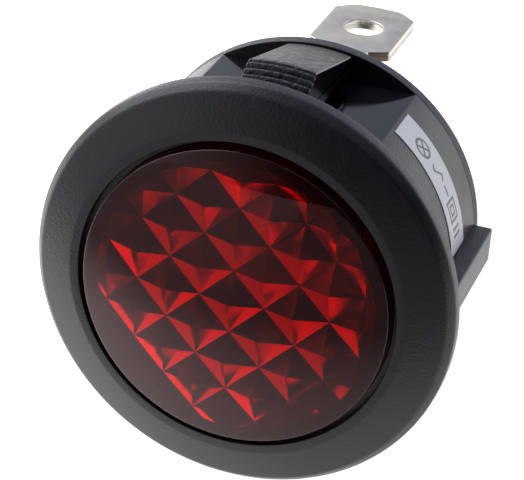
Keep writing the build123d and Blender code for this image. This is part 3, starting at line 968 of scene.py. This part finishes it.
CLEAR_GLASS = (0.93, 0.95, 0.94, 1)
FILMED_GLASS = (0.80, 0.82, 0.82, 1)
GLASS_IOR = 1.5
OXIDE_DULL = (0.20, 0.20, 0.21, 1)
OXIDE_BRIGHT = (0.36, 0.35, 0.34, 1)


def finish_node(name, material, smooth=30):
    """Gives a CAD node its finish, with its curved faces shaded smooth."""
    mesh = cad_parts[name].data
    mesh.shade_smooth()
    mesh.set_sharp_from_angle(angle=math.radians(smooth))
    mesh.materials.clear()
    mesh.materials.append(material)


def lamp_glass():
    """Clear glass, a little wavy, with a thin grey film left by the electrodes."""
    material, sockets, nodes = finish_named("lamp_glass")
    place = millimetres(nodes)
    film = grain(nodes, place, 0.8, 3.0)
    colour = blend(nodes, film, CLEAR_GLASS, FILMED_GLASS)
    sockets["Transmission Weight"].default_value = 1.0
    sockets["IOR"].default_value = GLASS_IOR
    texture = relief(nodes, grain(nodes, place, 0.6), 0.2, 0.05)
    join(nodes, sockets, {"Base Color": colour, "Roughness": 0.01 + 0.05 * film, "Normal": texture})
    return material


def drawn_metal(name, dull, bright, roughness, scale):
    """A drawn metal wire or rod with a mottled skin and fine scratches."""
    material, sockets, nodes = finish_named(name)
    place = millimetres(nodes)
    mottle = grain(nodes, place, scale, 4.0)
    scratches = grain(nodes, place, 8 * scale)
    colour = blend(nodes, mottle, dull, bright)
    roughness = roughness + 0.2 * mottle
    texture = relief(nodes, scratches, 0.2, 0.01)
    sockets["Metallic"].default_value = 1.0
    join(nodes, sockets, {"Base Color": colour, "Roughness": roughness, "Normal": texture})
    return material


glass = lamp_glass()
finish_node("lamp_envelope", glass)
finish_node("lamp_pinch", glass)
electrode = drawn_metal("oxide_nickel", OXIDE_DULL, OXIDE_BRIGHT, 0.35, 0.9)
finish_node("electrode_upper", electrode)
finish_node("electrode_lower", electrode)

# ---- Series resistor ------------------------------------------------------------------------
# A quarter-watt film resistor below the lamp drops the mains voltage. It is dipped in buff
# lacquer, which swells over its end caps, and carries four printed rings.

RING_PITCH = 0.8
BROWN = (0.09, 0.03, 0.012, 1)
YELLOW = (0.40, 0.30, 0.02, 1)
GREEN = (0.03, 0.16, 0.05, 1)
GOLD = (0.50, 0.34, 0.11, 1)
RING_COLOURS = [BROWN, YELLOW, GREEN, GOLD]
BUFF_DARK = (0.55, 0.40, 0.24, 1)
BUFF_PALE = (0.64, 0.49, 0.31, 1)


def buff_lacquer():
    """Glossy dipped lacquer, a little uneven."""
    material, sockets, nodes = finish_named("buff_lacquer")
    place = millimetres(nodes)
    flow = grain(nodes, place, 0.7, 3.0)
    colour = blend(nodes, flow, BUFF_DARK, BUFF_PALE)
    texture = relief(nodes, grain(nodes, place, 1.5), 0.3, 0.03)
    join(nodes, sockets, {"Base Color": colour, "Roughness": 0.25 + 0.15 * flow, "Normal": texture})
    return material


def ring_paint():
    """The rings' paint: each ring's colour by how far along the resistor it is."""
    material, sockets, nodes = finish_named("ring_paint")
    place = millimetres(nodes)
    run = split(nodes, place)[0]
    colour = RING_COLOURS[0]
    for index, paint in enumerate(RING_COLOURS[1:], start=1):
        step = (index - len(RING_COLOURS) / 2) * RING_PITCH
        colour = blend(nodes, rise(nodes, run, step - 0.02, step + 0.02), colour, paint)
    smudge = grain(nodes, place, 3.0, 3.0)
    join(nodes, sockets, {"Base Color": colour, "Roughness": 0.3 + 0.2 * smudge})
    return material


finish_node("resistor_body", buff_lacquer())
finish_node("resistor_bands", ring_paint())

# ---- Leads, sleeves and solder --------------------------------------------------------------
# The lamp's and resistor's tinned wires are soldered to each other and through the holes in
# the terminals' feet. Milky sleeves keep the two sides apart.

TIN_DULL = (0.50, 0.50, 0.50, 1)
TIN_BRIGHT = (0.68, 0.68, 0.67, 1)
SOLDER_DULL = (0.42, 0.42, 0.43, 1)
SOLDER_BRIGHT = (0.66, 0.66, 0.66, 1)
MILKY_DARK = (0.50, 0.50, 0.47, 1)
MILKY_PALE = (0.66, 0.66, 0.62, 1)
tinned = drawn_metal("tinned_wire", TIN_DULL, TIN_BRIGHT, 0.22, 1.4)
for name in ("lamp_lead_upper", "lamp_lead_lower", "resistor_lead_left", "resistor_lead_right"):
    finish_node(name, tinned, smooth=50)
solder = drawn_metal("solder", SOLDER_DULL, SOLDER_BRIGHT, 0.12, 0.8)
for name in ("solder_top", "solder_bottom", "splice_solder"):
    finish_node(name, solder, smooth=60)


def sleeve_plastic():
    """Milky insulating tube, slightly creased where it bends."""
    material, sockets, nodes = finish_named("sleeve_plastic")
    place = millimetres(nodes)
    cloud = grain(nodes, place, 1.1, 3.0)
    colour = blend(nodes, cloud, MILKY_DARK, MILKY_PALE)
    texture = relief(nodes, grain(nodes, place, 4.0), 0.3, 0.02)
    join(nodes, sockets, {"Base Color": colour, "Roughness": 0.35 + 0.2 * cloud, "Normal": texture})
    return material


sleeving = sleeve_plastic()
finish_node("sleeve_upper", sleeving, smooth=50)
finish_node("sleeve_lower", sleeving, smooth=50)

low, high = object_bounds()
